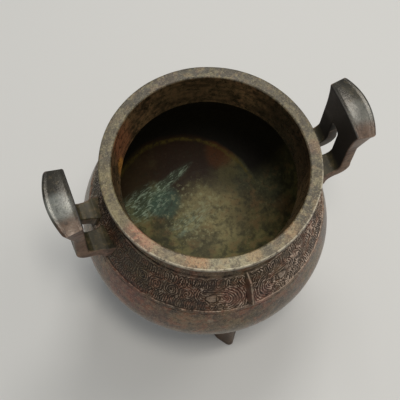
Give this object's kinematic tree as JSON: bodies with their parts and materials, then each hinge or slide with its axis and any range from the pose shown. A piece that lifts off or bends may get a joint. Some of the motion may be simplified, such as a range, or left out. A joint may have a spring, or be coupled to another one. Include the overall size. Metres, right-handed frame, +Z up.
{
  "type": "bronze ding vessel",
  "caption": "Round tripod ding of cast bronze with a flat flared rim, bent upright handles, ridged legs and a mask frieze around the shoulder.",
  "frame": {"origin": "on the floor under the vessel's axis, midway between the handles", "axes": "+Z up, +X through one handle, -Y the front, where one leg and one nose ridge stand"},
  "size_m": [0.27, 0.2206, 0.27],
  "materials": {
    "bronze": "dull dark patina"
  },
  "bodies": {
    "root": {"ding_vessel": "bronze"}
  },
  "joints": []
}
